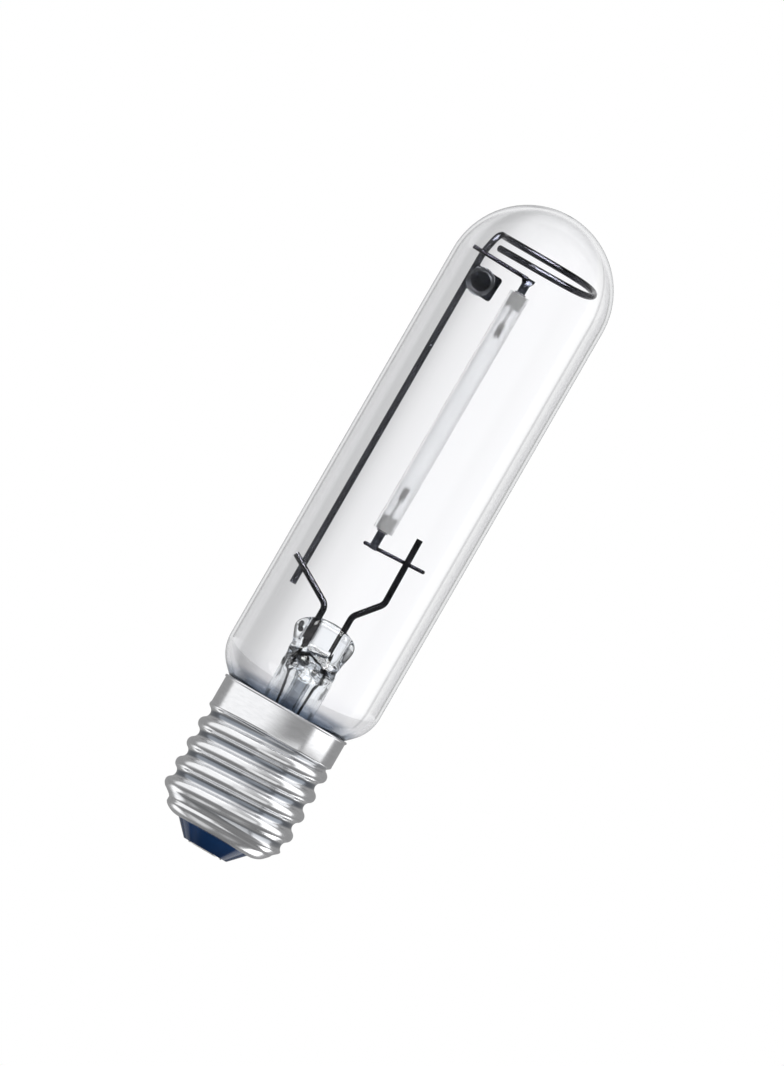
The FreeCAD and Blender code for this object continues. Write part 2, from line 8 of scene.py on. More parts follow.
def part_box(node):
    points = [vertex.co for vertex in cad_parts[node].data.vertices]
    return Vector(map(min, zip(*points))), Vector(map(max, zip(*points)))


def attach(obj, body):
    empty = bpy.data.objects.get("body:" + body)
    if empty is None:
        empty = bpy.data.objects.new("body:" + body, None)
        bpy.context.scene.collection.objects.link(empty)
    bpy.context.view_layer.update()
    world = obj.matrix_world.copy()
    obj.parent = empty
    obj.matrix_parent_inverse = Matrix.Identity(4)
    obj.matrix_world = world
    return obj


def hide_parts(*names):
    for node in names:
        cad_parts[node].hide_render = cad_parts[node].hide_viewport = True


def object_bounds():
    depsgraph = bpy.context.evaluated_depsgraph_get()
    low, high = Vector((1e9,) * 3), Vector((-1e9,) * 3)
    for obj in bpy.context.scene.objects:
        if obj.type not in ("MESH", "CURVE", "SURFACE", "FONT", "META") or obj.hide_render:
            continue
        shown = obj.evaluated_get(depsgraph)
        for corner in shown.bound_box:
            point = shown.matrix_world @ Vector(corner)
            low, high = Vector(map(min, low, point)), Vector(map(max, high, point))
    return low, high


# Tubular high-pressure sodium lamp. Lengths in this script are millimetres until a mesh is made.

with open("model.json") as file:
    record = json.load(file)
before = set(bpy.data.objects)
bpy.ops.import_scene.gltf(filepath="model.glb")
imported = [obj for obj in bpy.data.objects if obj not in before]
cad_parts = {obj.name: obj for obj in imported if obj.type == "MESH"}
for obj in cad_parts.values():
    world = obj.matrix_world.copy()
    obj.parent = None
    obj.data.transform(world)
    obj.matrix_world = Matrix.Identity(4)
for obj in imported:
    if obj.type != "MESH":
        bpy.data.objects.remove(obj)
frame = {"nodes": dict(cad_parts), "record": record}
CAD_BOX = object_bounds()
MM = 0.001

# Camera
ROLL = math.radians(30.0)
VIEW_HEIGHT = 297.3
VIEW_CENTRE_X = 1.0
VIEW_CENTRE_Z = 102.9
CAMERA_DISTANCE = 1000.0


def box_mm(node):
    low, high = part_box(node)
    return low / MM, high / MM


BULB_LOW, BULB_HIGH = box_mm("outer_bulb")
SHELL_LOW, SHELL_HIGH = box_mm("cap_shell")
STEM_HIGH = box_mm("stem_glass")[1]


# --- Mesh helpers ---------------------------------------------------------------------------

# Degrees of arc in one step of a rounding
ARC_STEP = 4.0


def piece(name, vertices, faces, material, replaced, sharp=40.0):
    """A mesh object in place of a CAD node; vertices are in millimetres."""
    mesh = bpy.data.meshes.new(name)
    mesh.from_pydata([tuple(Vector(v) * MM) for v in vertices], [], faces)
    mesh.validate()
    mesh.shade_smooth()
    mesh.set_sharp_from_angle(angle=math.radians(sharp))
    made = bpy.data.objects.new(name, mesh)
    bpy.context.scene.collection.objects.link(made)
    mesh.materials.append(material)
    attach(made, "root")
    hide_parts(replaced)
    return made


def turned_ring(radius_at, height, count):
    """Ring of points round the upright axis; radius_at gives the radius at an angle."""
    ring = []
    for index in range(count):
        turn = 2 * math.pi * index / count
        radius = radius_at(turn)
        ring.append((radius * math.cos(turn), radius * math.sin(turn), height))
    return ring


def plain_ring(radius, height, count):
    return turned_ring(lambda turn: radius, height, count)


def joined_rings(rings, closed):
    """Vertices and faces of a skin over rings of points. A ring of one point is a pole."""
    vertices = []
    starts = []
    for ring in rings:
        starts.append(len(vertices))
        vertices += ring
    faces = []
    pairs = list(zip(range(len(rings)), range(1, len(rings))))
    if closed:
        pairs.append((len(rings) - 1, 0))
    for lower, upper in pairs:
        count = max(len(rings[lower]), len(rings[upper]))
        for index in range(count):
            after = (index + 1) % count
            a = starts[lower] + (index if len(rings[lower]) > 1 else 0)
            b = starts[lower] + (after if len(rings[lower]) > 1 else 0)
            c = starts[upper] + (after if len(rings[upper]) > 1 else 0)
            d = starts[upper] + (index if len(rings[upper]) > 1 else 0)
            corners = tuple(dict.fromkeys((a, b, c, d)))
            if len(corners) > 2:
                faces.append(corners)
    return vertices, faces


def lathe(outline, segments, closed):
    """Skin of revolution about the upright axis through (radius, height) points."""
    rings = []
    for radius, height in outline:
        on_axis = radius < 1e-6
        rings.append([(0.0, 0.0, height)] if on_axis else plain_ring(radius, height, segments))
    return joined_rings(rings, closed)


def filleted(corners):
    """Outline through (radius, height, rounding) corners, each rounded by an arc."""
    points = []
    for index, (x, z, rounding) in enumerate(corners):
        corner = Vector((x, z))
        if rounding == 0 or index in (0, len(corners) - 1):
            points.append(corner)
            continue
        back = (Vector(corners[index - 1][:2]) - corner).normalized()
        ahead = (Vector(corners[index + 1][:2]) - corner).normalized()
        half = back.angle(ahead) / 2
        centre = corner + (back + ahead).normalized() * (rounding / math.sin(half))
        start = corner + back * (rounding / math.tan(half)) - centre
        sweep = math.pi - 2 * half
        side = 1 if start.x * back.y - start.y * back.x < 0 else -1
        steps = max(3, round(math.degrees(sweep) / ARC_STEP))
        for step in range(steps + 1):
            turn = side * sweep * step / steps
            spun = Vector((
                start.x * math.cos(turn) - start.y * math.sin(turn),
                start.x * math.sin(turn) + start.y * math.cos(turn),
            ))
            points.append(centre + spun)
    return points


def ease(value, low, high):
    """0 below low, 1 above high, and a smooth step between them."""
    part = min(max((value - low) / (high - low), 0.0), 1.0)
    return part * part * (3 - 2 * part)


def plateau(value, rise_from, rise_to, fall_from, fall_to):
    """1 in the middle of a span, with a smooth step up from 0 and one back down."""
    return ease(value, rise_from, rise_to) * (1 - ease(value, fall_from, fall_to))


def curve_through(points):
    """Function of height: a smooth curve through (height, value) points."""
    heights = [point[0] for point in points]
    values = [point[1] for point in points]
    slopes = []
    for index in range(len(points)):
        before = max(index - 1, 0)
        after = min(index + 1, len(points) - 1)
        slopes.append((values[after] - values[before]) / (heights[after] - heights[before]))

    def at(height):
        height = min(max(height, heights[0]), heights[-1])
        index = 0
        while index < len(points) - 2 and height > heights[index + 1]:
            index += 1
        run = heights[index + 1] - heights[index]
        t = (height - heights[index]) / run
        return (
            values[index] * (1 + 2 * t) * (1 - t) ** 2
            + slopes[index] * run * t * (1 - t) ** 2
            + values[index + 1] * t * t * (3 - 2 * t)
            - slopes[index + 1] * run * t * t * (1 - t)
        )

    return at


# --- Node helpers ---------------------------------------------------------------------------


def add_node(tree, kind, inputs=None, **settings):
    made = tree.nodes.new(kind)
    for key, value in settings.items():
        setattr(made, key, value)
    for key, value in (inputs or {}).items():
        if isinstance(value, bpy.types.NodeSocket):
            tree.links.new(value, made.inputs[key])
        else:
            made.inputs[key].default_value = value
    return made


def maths(tree, operation, *values):
    made = add_node(tree, "ShaderNodeMath", dict(enumerate(values)), operation=operation)
    return made.outputs["Value"]


def axes_of(tree, coordinates):
    """X, Y and Z of the named texture coordinates."""
    place = add_node(tree, "ShaderNodeTexCoord").outputs[coordinates]
    parts = add_node(tree, "ShaderNodeSeparateXYZ", {"Vector": place})
    return parts.outputs["X"], parts.outputs["Y"], parts.outputs["Z"]


def spread(tree, value, low, high, to_low=0.0, to_high=1.0, **settings):
    """Maps low..high to to_low..to_high and stops at both ends."""
    limits = {"From Min": low, "From Max": high, "To Min": to_low, "To Max": to_high}
    made = add_node(tree, "ShaderNodeMapRange", {"Value": value, **limits}, **settings)
    return made.outputs["Result"]


def fade(tree, value, low, high, to_low=0.0, to_high=1.0):
    """Like spread, with smooth ends."""
    return spread(tree, value, low, high, to_low, to_high, interpolation_type="SMOOTHSTEP")


def window_of(tree, value, low, high, soft, soft_high=None):
    """1 between low and high, 0 outside, with soft edges."""
    edge = soft if soft_high is None else soft_high
    rise = fade(tree, value, low - soft, low + soft)
    fall = fade(tree, value, high - edge, high + edge, 1.0, 0.0)
    return maths(tree, "MULTIPLY", rise, fall)


def ramp_of(tree, factor, stops):
    """Colour ramp through (position, colour) stops."""
    ramp = add_node(tree, "ShaderNodeValToRGB", {"Fac": factor})
    elements = ramp.color_ramp.elements
    while len(elements) < len(stops):
        elements.new(0.5)
    for element, (position, colour) in zip(elements, stops):
        element.position = position
        element.color = (*colour, 1.0)
    return ramp.outputs["Color"]


def mixed(tree, factor, first, second):
    return ramp_of(tree, factor, [(0.0, first), (1.0, second)])


def object_noise(tree, scale, detail, stretch=(1.0, 1.0, 1.0)):
    """Noise fixed to the object, in metres; scale is in features per metre."""
    place = add_node(tree, "ShaderNodeTexCoord").outputs["Object"]
    stretched = add_node(tree, "ShaderNodeMapping", {"Vector": place, "Scale": stretch})
    look = {"Vector": stretched.outputs["Vector"], "Scale": scale, "Detail": detail, "Roughness": 0.55}
    return add_node(tree, "ShaderNodeTexNoise", look).outputs["Fac"]


def coarse_noise(tree, scale, stretch):
    """Object noise with its middle range spread over 0 to 1."""
    return spread(tree, object_noise(tree, scale, 4.0, stretch), 0.35, 0.65)


def add_relief(tree, shader, height, distance):
    relief = add_node(tree, "ShaderNodeBump", {"Height": height, "Strength": 1.0, "Distance": distance})
    tree.links.new(relief.outputs["Normal"], shader.inputs["Normal"])


def empty_material(name, kind):
    """Material with one shader node of a kind, its node tree, and that node."""
    material = bpy.data.materials.new(name)
    material.use_nodes = True
    tree = material.node_tree
    tree.nodes.clear()
    shader = add_node(tree, kind)
    add_node(tree, "ShaderNodeOutputMaterial", {"Surface": shader.outputs[0]})
    return material, tree, shader


def set_plain(shader, values):
    for key, value in values.items():
        shader.inputs[key].default_value = value


# --- Materials ------------------------------------------------------------------------------


def surface(name, dark, light, rough, metallic, grain, bump=0.00001, stretch=(1, 1, 1), plain=None):
    """Opaque material: tone, roughness and a fine bump all vary by noise of one grain."""
    material, tree, shader = empty_material(name, "ShaderNodeBsdfPrincipled")
    coarse = coarse_noise(tree, grain * 0.25, stretch)
    fine = object_noise(tree, grain, 4.0, stretch)
    tree.links.new(mixed(tree, coarse, dark, light), shader.inputs["Base Color"])
    tree.links.new(spread(tree, fine, 0.3, 0.7, *rough), shader.inputs["Roughness"])
    add_relief(tree, shader, fine, bump)
    set_plain(shader, {"Metallic": metallic, **(plain or {})})
    return material


# Opaque finishes: darker tone, lighter tone, roughness from and to, metallic, grain in features per
# metre, and for some the height of the bump in metres and the grain's stretch
FINISHES = {
    "lead_wire": ((0.010, 0.010, 0.012), (0.018, 0.018, 0.021), (0.14, 0.20), 1.0, 700.0),
    "cross_wire": ((0.005, 0.005, 0.007), (0.009, 0.009, 0.012), (0.28, 0.36), 1.0, 700.0),
    "mount_wire": (
        (0.026, 0.027, 0.033), (0.034, 0.0355, 0.043), (0.22, 0.27), 1.0, 700.0, 0.000003, (1, 1, 0.3)
    ),
    "seal_wire": ((0.008, 0.008, 0.010), (0.02, 0.02, 0.025), (0.35, 0.5), 1.0, 1800.0),
    "outer_lead": ((0.012, 0.012, 0.015), (0.03, 0.03, 0.035), (0.3, 0.45), 1.0, 1800.0),
    "niobium": ((0.020, 0.022, 0.030), (0.05, 0.053, 0.065), (0.16, 0.26), 1.0, 1500.0),
    "tungsten": ((0.05, 0.05, 0.055), (0.12, 0.12, 0.13), (0.4, 0.6), 1.0, 2500.0),
    "bright_tungsten": ((0.50, 0.50, 0.51), (0.62, 0.62, 0.63), (0.4, 0.6), 1.0, 2500.0),
    "getter_plate_metal": ((0.003, 0.004, 0.006), (0.009, 0.010, 0.014), (0.14, 0.2), 1.0, 900.0),
    "getter_cup_metal": ((0.03, 0.032, 0.036), (0.075, 0.078, 0.085), (0.10, 0.15), 1.0, 1200.0),
    "contact_metal": ((0.55, 0.55, 0.54), (0.75, 0.74, 0.72), (0.2, 0.35), 1.0, 1500.0),
    "solder": ((0.50, 0.51, 0.53), (0.70, 0.71, 0.73), (0.2, 0.4), 1.0, 1500.0, 0.00003),
    "amalgam": ((0.55, 0.56, 0.58), (0.70, 0.71, 0.73), (0.08, 0.15), 1.0, 1500.0),
    "cap_cement": ((0.50, 0.45, 0.38), (0.62, 0.57, 0.49), (0.8, 0.95), 0.0, 2500.0, 0.00005),
    "end_plug_ceramic": ((0.30, 0.302, 0.305), (0.36, 0.362, 0.365), (0.6, 0.8), 0.0, 1500.0),
    "frit": ((0.10, 0.10, 0.11), (0.20, 0.20, 0.21), (0.3, 0.5), 0.0, 1500.0),
}


def insulator_glass():
    """Dark blue vitrite, glossy but with weak reflections."""
    return surface(
        "insulator_glass", (0.004, 0.028, 0.090), (0.007, 0.036, 0.116), (0.06, 0.10), 0.0, 500.0, 0.000005,
        plain={"Specular IOR Level": 0.12},
    )


def clear_glass(name, tint, bump, scale, absorption=None):
    """Clear glass with slow waves in its surface and, if asked for, a faint colour in its thickness."""
    material, tree, shader = empty_material(name, "ShaderNodeBsdfPrincipled")
    set_plain(shader, {"Base Color": (*tint, 1.0), "Roughness": 0.0, "IOR": 1.5, "Transmission Weight": 1.0})
    add_relief(tree, shader, object_noise(tree, scale, 2.0, (1.0, 1.0, 0.35)), bump)
    if absorption:
        colour, density = absorption
        smoke = add_node(tree, "ShaderNodeVolumeAbsorption", {"Color": (*colour, 1.0), "Density": density})
        output = next(node for node in tree.nodes if node.type == "OUTPUT_MATERIAL")
        tree.links.new(smoke.outputs["Volume"], output.inputs["Volume"])
    return material, tree, shader


def exhaust_glass():
    """Glass of the exhaust tube, greyed all through."""
    return clear_glass("exhaust_glass", (0.50, 0.53, 0.57), 0.00003, 250.0)[0]


# Height and colour of the painted shade at the bulb's foot
PAINTED_FOOT_SHADE = [
    (46.6, (0.33, 0.37, 0.43)), (47.2, (0.38, 0.42, 0.48)), (48.0, (0.56, 0.58, 0.62)),
    (49.0, (0.85, 0.86, 0.88)), (49.8, (0.95, 0.95, 0.96)), (51.4, (0.965, 0.965, 0.97)),
    (53.0, (0.975, 0.975, 0.98)), (57.0, (1, 1, 1)),
]


def bulb_glass():
    """The bulb's glass, with painted grey-blue shade where it runs down into the cap."""
    material, tree, shader = clear_glass("bulb_glass", (1, 1, 1), 0.00001, 15.0, ((0.75, 0.78, 0.84), 40.0))
    height = axes_of(tree, "Object")[2]
    low, high = PAINTED_FOOT_SHADE[0][0], PAINTED_FOOT_SHADE[-1][0]
    stops = [((level - low) / (high - low), colour) for level, colour in PAINTED_FOOT_SHADE]
    # Painted shade that darkens the glass towards the cap
    foot_shade = ramp_of(tree, spread(tree, height, low * MM, high * MM), stops)
    tree.links.new(foot_shade, shader.inputs["Base Color"])
    set_plain(shader, {"IOR": 1.45, "Specular Tint": (0.2, 0.2, 0.2, 1.0)})
    return material


# Painted dark reflections, shade and images of the wires on the front of the pressed glass: place (x, z),
# half sizes, strength
PAINTED_STEM_SHADE = [
    (-8.2, 68.3, 0.8, 1.1, 0.99), (-7.7, 67.2, 0.9, 0.8, 1.0), (-6.7, 61.2, 1.3, 0.8, 0.93),
    (-7.3, 57.3, 0.6, 1.5, 0.98), (-4.9, 61.2, 0.5, 4.2, 1.0), (-2.5, 60.0, 1.9, 1.5, 0.97),
    (-0.3, 63.8, 3.4, 0.3, 0.6), (3.75, 62.2, 0.45, 3.3, 1.0), (3.6, 60.0, 0.9, 1.0, 1.0),
    (1.8, 58.3, 0.9, 0.6, 0.85), (4.6, 57.4, 0.5, 1.7, 0.97), (6.5, 60.6, 0.9, 0.3, 0.85),
]
STEM_SHADE_WANDER = 0.6
# The painted shade ends between these two depths
STEM_SHADE_DEPTHS = (-1.0, -0.5)
STEM_SHADE_COLOUR = (0.0008, 0.0008, 0.001)
STEM_COLOUR = (0.985, 0.995, 1.0)


def wandering_place(tree):
    """X, Y and Z on the object, with X and Z shifted a little by noise."""
    place = add_node(tree, "ShaderNodeTexCoord").outputs["Object"]
    wander = add_node(tree, "ShaderNodeTexNoise", {"Vector": place, "Scale": 450.0, "Detail": 2.0})
    reach = (STEM_SHADE_WANDER * MM, 0.0, STEM_SHADE_WANDER * MM)
    values = {0: wander.outputs["Color"], 1: reach, 2: place}
    shifted = add_node(tree, "ShaderNodeVectorMath", values, operation="MULTIPLY_ADD")
    parts = add_node(tree, "ShaderNodeSeparateXYZ", {"Vector": shifted.outputs["Vector"]})
    return parts.outputs["X"], parts.outputs["Y"], parts.outputs["Z"]


def scaled_from(tree, value, centre, half):
    """Distance of a value from the centre of a painted dark spot, in half sizes of the spot."""
    return maths(tree, "MULTIPLY_ADD", value, 1 / (half * MM), -(centre + STEM_SHADE_WANDER / 2) / half)


def stem_glass():
    """Pressed glass, which has flowed round the wires, with painted dark reflections, shade and images of
    the wires on its front.
    """
    material, tree, shader = clear_glass("stem_glass", (1, 1, 1), 0.00005, 300.0, ((0.70, 0.76, 0.84), 60.0))
    x, y, z = wandering_place(tree)
    clear = 1.0
    # Painted shade: dark spots for reflections, a shadow and images of the wires, kept to the front face
    for centre_x, centre_z, half_x, half_z, strength in PAINTED_STEM_SHADE:
        across = scaled_from(tree, x, centre_x, half_x)
        up = scaled_from(tree, z, centre_z, half_z)
        reach = maths(tree, "MULTIPLY_ADD", across, across, maths(tree, "MULTIPLY", up, up))
        clear = maths(tree, "MULTIPLY", fade(tree, reach, 0.85, 1.15, 1 - strength), clear)
    rear = spread(tree, y, STEM_SHADE_DEPTHS[0] * MM, STEM_SHADE_DEPTHS[1] * MM)
    clear = maths(tree, "MAXIMUM", clear, rear)
    tree.links.new(mixed(tree, clear, STEM_SHADE_COLOUR, STEM_COLOUR), shader.inputs["Base Color"])
    return material


THREAD_PITCH = 6.35
THREAD_PHASE = 2.325
# Heights between which the grooves get painted shade, and the soft edges at the lower and the upper one
SHADED_GROOVES = (10.5, 36.2, 2.5, 1.2)
SHELL_STRETCH = (1, 1, 4)


def shell_metal():
    """Satin plated sheet, with painted shade along the grooves of the thread."""
    material, tree, shader = empty_material("shell_metal", "ShaderNodeBsdfPrincipled")
    x, y, z = axes_of(tree, "Object")
    turn = maths(tree, "ARCTAN2", y, x)
    start, end = THREAD_PHASE * MM, (THREAD_PHASE + THREAD_PITCH) * MM
    level = spread(tree, z, start, end, 0.0, 2 * math.pi, clamp=False)
    crest = maths(tree, "COSINE", maths(tree, "SUBTRACT", level, turn))
    painted_groove_shade = fade(tree, crest, -0.5, -0.95)
    threaded = window_of(tree, z, *[length * MM for length in SHADED_GROOVES])
    coarse = coarse_noise(tree, 300.0, SHELL_STRETCH)
    clean = mixed(tree, coarse, (0.78, 0.785, 0.80), (0.84, 0.845, 0.86))
    # Painted shade in the grooves of the thread
    tint = mixed(tree, maths(tree, "MULTIPLY", painted_groove_shade, threaded), (1.0, 1.0, 1.0), (0.28, 0.305, 0.34))
    colour = add_node(tree, "ShaderNodeVectorMath", {0: clean, 1: tint}, operation="MULTIPLY")
    tree.links.new(colour.outputs["Vector"], shader.inputs["Base Color"])
    fine = object_noise(tree, 1200.0, 4.0, SHELL_STRETCH)
    tree.links.new(spread(tree, fine, 0.3, 0.7, 0.17, 0.23), shader.inputs["Roughness"])
    add_relief(tree, shader, fine, 0.000001)
    set_plain(shader, {"Metallic": 1.0})
    return material


def arc_tube_ceramic():
    """Translucent white alumina: light comes through it, scattered."""
    material, tree, shader = empty_material("arc_tube_alumina", "ShaderNodeBsdfPrincipled")
    set_plain(shader, {"Base Color": (0.95, 0.955, 0.965, 1.0), "Transmission Weight": 0.88, "IOR": 1.09})
    grain = object_noise(tree, 2500.0, 3.0)
    tree.links.new(spread(tree, grain, 0.3, 0.7, 0.38, 0.48), shader.inputs["Roughness"])
    add_relief(tree, shader, grain, 0.00001)
    return material


def make_materials():
    materials = {name: surface(name, *finish) for name, finish in FINISHES.items()}
    materials["insulator_glass"] = insulator_glass()
    materials["bulb_glass"] = bulb_glass()
    materials["stem_glass"] = stem_glass()
    materials["exhaust_glass"] = exhaust_glass()
    materials["shell_metal"] = shell_metal()
    materials["arc_tube_alumina"] = arc_tube_ceramic()
    return materials


# CAD nodes whose finish differs from the rest of their slot
OWN_MATERIALS = {
    "left_inner_lead": "lead_wire", "right_inner_lead": "lead_wire",
    "upper_cross_rod": "cross_wire", "lower_cross_wire": "cross_wire",
    "upper_electrode_rod": "bright_tungsten", "lower_electrode_rod": "bright_tungsten",
}


def use_materials(materials):
    """Every CAD node that stays gets the node material of its slot, or its own."""
    for part in frame["record"]["subparts"]:
        mesh = frame["nodes"][part["node"]].data
        mesh.materials.clear()
        mesh.materials.append(materials[OWN_MATERIALS.get(part["node"], part["material_slot"])])


# --- Bulb -----------------------------------------------------------------------------------

GLASS_WALL = 1.1
NECK_FILLET = 3.0
SHOULDER_RADIUS = 12.0
CONE_OFFSET = 27.43
BULB_SEGMENTS = 256


def bulb_outline(inset):
    """From the neck's end to the dome's top, every face moved inwards by inset."""
    neck = STEM_HIGH.x - inset
    side = BULB_HIGH.x - inset
    slope = CONE_OFFSET + inset * math.sqrt(2)
    return filleted([
        (neck, BULB_LOW.z, 0),
        (neck, neck + slope, NECK_FILLET + inset),
        (side, side + slope, SHOULDER_RADIUS - inset),
        (side, BULB_HIGH.z - inset, side),
        (0, BULB_HIGH.z - inset, 0),
    ])


def make_bulb(materials):
    outline = bulb_outline(0) + list(reversed(bulb_outline(GLASS_WALL)))
    vertices, faces = lathe(outline, BULB_SEGMENTS, True)
    return piece("bulb", vertices, faces, materials["bulb_glass"], "outer_bulb")


# --- Cap shell ------------------------------------------------------------------------------

SHELL_WALL = 0.4
SHELL_MOUTH = 11.0
CURL_RADIUS = 16.1
CURL_TOP = 8.0
ROOT_END = 10.4
THREAD_ROUND = 1.85
THREAD_CREST = 19.6
THREAD_ROOT = 17.8
THREAD_FADE_LOW = 3.5
THREAD_FADE_HIGH = 13.5
SKIRT_RADIUS = 19.15
SKIRT_START = 37.4
SKIRT_STEP = 1.2
RIM_HEIGHT = 0.8
RIM_BULGE = 0.35
RIM_STEPS = 8
INSIDE_SKIRT = 1.5
SHELL_COLUMNS = 240
CURL_STEPS = 24
OUTER_ROWS = 160
INNER_ROWS = 60


def wave(height):
    """The thread's profile at a height above a crest: arcs for crest and root."""
    quarter = THREAD_PITCH / 4
    offset = abs((height + THREAD_PITCH / 2) % THREAD_PITCH - THREAD_PITCH / 2)
    if offset <= quarter:
        return THREAD_CREST - THREAD_ROOT - THREAD_ROUND + math.sqrt(THREAD_ROUND ** 2 - offset ** 2)
    return THREAD_ROUND - math.sqrt(THREAD_ROUND ** 2 - (THREAD_PITCH / 2 - offset) ** 2)


def shell_radius(turn, height):
    """Outside of the shell: root of the thread, its wave, and the plain skirt above it."""
    root = CURL_RADIUS + (THREAD_ROOT - CURL_RADIUS) * ease(height, CURL_TOP, ROOT_END)
    ridge = wave(height - THREAD_PHASE - THREAD_PITCH * turn / (2 * math.pi))
    threaded = root + ridge * ease(height, THREAD_FADE_LOW, THREAD_FADE_HIGH)
    blend = ease(height, SKIRT_START - SKIRT_STEP, SKIRT_START)
    return threaded + (SKIRT_RADIUS - threaded) * blend


def curl_rings(inset):
    """From the edge of the mouth round the curl, to just below the thread."""
    rings = []
    for step in range(CURL_STEPS):
        bend = math.pi / 2 * step / CURL_STEPS
        height = CURL_TOP - (CURL_TOP - SHELL_LOW.z - inset) * math.cos(bend)

        def radius_at(turn):
            swell = (shell_radius(turn, height) - CURL_RADIUS) * math.sin(bend)
            return SHELL_MOUTH + (CURL_RADIUS - inset - SHELL_MOUTH) * math.sin(bend) + swell

        rings.append(turned_ring(radius_at, height, SHELL_COLUMNS))
    return rings


def thread_rings(inset, rows):
    """From the curl up over the thread to the foot of the skirt."""
    rings = []
    for row in range(rows + 1):
        height = CURL_TOP + (SKIRT_START - CURL_TOP) * row / rows
        rings.append(turned_ring(lambda turn: shell_radius(turn, height) - inset, height, SHELL_COLUMNS))
    return rings


def rim_rings():
    """Skirt, bead, and the inside of the skirt."""
    top = SHELL_HIGH.z
    bead = RIM_HEIGHT / 2
    outline = [(SKIRT_RADIUS, top - RIM_HEIGHT - 0.25), (SKIRT_RADIUS, top - RIM_HEIGHT - 0.05)]
    for step in range(RIM_STEPS + 1):
        turn = math.pi * (step / RIM_STEPS - 0.5)
        outline.append((SKIRT_RADIUS + RIM_BULGE * math.cos(turn), top - bead + bead * math.sin(turn)))
    inside = SKIRT_RADIUS - SHELL_WALL
    outline += [(inside, top), (inside, top - INSIDE_SKIRT)]
    return [plain_ring(radius, height, SHELL_COLUMNS) for radius, height in outline]


def make_shell(materials):
    """Rolled shell: mouth, curl, right-hand thread, plain skirt and rim bead, with its inside."""
    outside = curl_rings(0) + thread_rings(0, OUTER_ROWS) + rim_rings()
    inside = curl_rings(SHELL_WALL) + thread_rings(SHELL_WALL, INNER_ROWS)
    vertices, faces = joined_rings(outside + list(reversed(inside)), True)
    return piece("shell", vertices, faces, materials["shell_metal"], "cap_shell")


# --- Stem and exhaust tube ------------------------------------------------------------------

STEM_RADIUS = 7.8
STEM_WALL = 1.2
STEM_SEGMENTS = 192
FLARE_RADIUS = 8.2
FLARE_TOP = 45.0
FLARE_STEPS = 16
PRESS_FOOT = 56.4
PRESS_STEP = 0.25
ROUNDED_FROM = 71.4
LAST_STEP = 0.02
CROWN_TOP = 59.5
EXHAUST_JOINT = 54.6
EXHAUST_RADIUS = 2.5
EXHAUST_BORE = 1.5
EXHAUST_SEGMENTS = 96

# The pinch, as functions of height: half widths, half depth, and how square its section is
LEFT_WIDTH = curve_through([
    (56.4, 7.8), (58.9, 7.9), (60.8, 8.05), (63.4, 8.3), (65.6, 9.1), (67.4, 9.7),
    (69.0, 9.35), (70.5, 8.1), (71.7, 6.3), (72.3, 4.9), (72.7, 3.4), (73.0, 0.05),
])
RIGHT_WIDTH = curve_through([
    (56.4, 7.8), (59.5, 7.65), (61.2, 7.2), (63.4, 7.5), (66.4, 8.2), (68.4, 8.4),
    (69.9, 8.05), (71.2, 6.8), (72.0, 5.1), (72.5, 3.8), (72.8, 2.5), (73.0, 0.05),
])
HALF_DEPTH = curve_through([
    (56.4, 7.8), (58.0, 7.0), (60.0, 5.0), (62.0, 3.4), (63.6, 2.7), (65.0, 2.4),
    (70.8, 2.3), (72.0, 1.9), (72.6, 1.2), (73.0, 0.05),
])
SQUARENESS = curve_through([(56.4, 2.0), (60.0, 2.2), (64.0, 2.8), (70.0, 3.2), (73.0, 2.4)])

# Heights that the jaws pressed, the upright ridges that they left beside a flat window, and the
# heights and size of the waves in the melted foot
PRESSED = (62.5, 65.0, 71.5, 72.8)
JAW_CENTRE = -0.1
RIDGE_PLACE = 4.9
RIDGE_WIDTH = 1.2
RIDGE_DEPTH = 0.35
WINDOW_EDGE = (3.3, 4.1)
WINDOW_DEPTH = 0.30
MELTED = (54.5, 57.5, 63.0, 65.0)
MELT_SIZE = 0.25
CROWN_WOBBLE = 1.3


def stem_outer_ring(height):
    ring = []
    power = 2 / SQUARENESS(height)
    pressed = plateau(height, *PRESSED)
    melted = MELT_SIZE * plateau(height, *MELTED)
    for index in range(STEM_SEGMENTS):
        turn = 2 * math.pi * index / STEM_SEGMENTS
        c, s = math.cos(turn), math.sin(turn)
        width = RIGHT_WIDTH(height) if c > 0 else LEFT_WIDTH(height)
        x = width * math.copysign(abs(c) ** power, c)
        y = HALF_DEPTH(height) * math.copysign(abs(s) ** power, s)
        aside = abs(x - JAW_CENTRE)
        ridges = RIDGE_DEPTH * math.exp(-((aside - RIDGE_PLACE) / RIDGE_WIDTH) ** 2)
        window = WINDOW_DEPTH * (1 - ease(aside, *WINDOW_EDGE))
        y *= 1 + pressed * (ridges - window)
        wobble = melted * noise.noise(Vector((x, y, height)) * 0.45)
        ring.append((x * (1 + wobble * 0.15), y * (1 + wobble * 0.5), height + wobble * 0.3))
    return ring


def round_ring(radius, height, squash=1.0, wobble=0.0):
    """Ring of the stem's glass, flattened by squash and shaken by wobble."""
    ring = []
    for x, y, z in plain_ring(radius, height, STEM_SEGMENTS):
        here = Vector((x, y * squash, z))
        shift = wobble * noise.noise(here * 0.35)
        ring.append((here.x * (1 + shift * 0.2), here.y * (1 + shift * 0.2), height + shift))
    return ring


def flare_rings(bend_radius):
    """The flare from its edge up to the tube, as an arc of 90 degrees."""
    middle = STEM_RADIUS + FLARE_RADIUS
    rings = [round_ring(STEM_HIGH.x, FLARE_TOP - bend_radius)]
    for step in range(FLARE_STEPS + 1):
        turn = math.radians(270 - 90 * step / FLARE_STEPS)
        radius = middle + bend_radius * math.cos(turn)
        rings.append(round_ring(radius, FLARE_TOP + bend_radius * math.sin(turn)))
    return rings


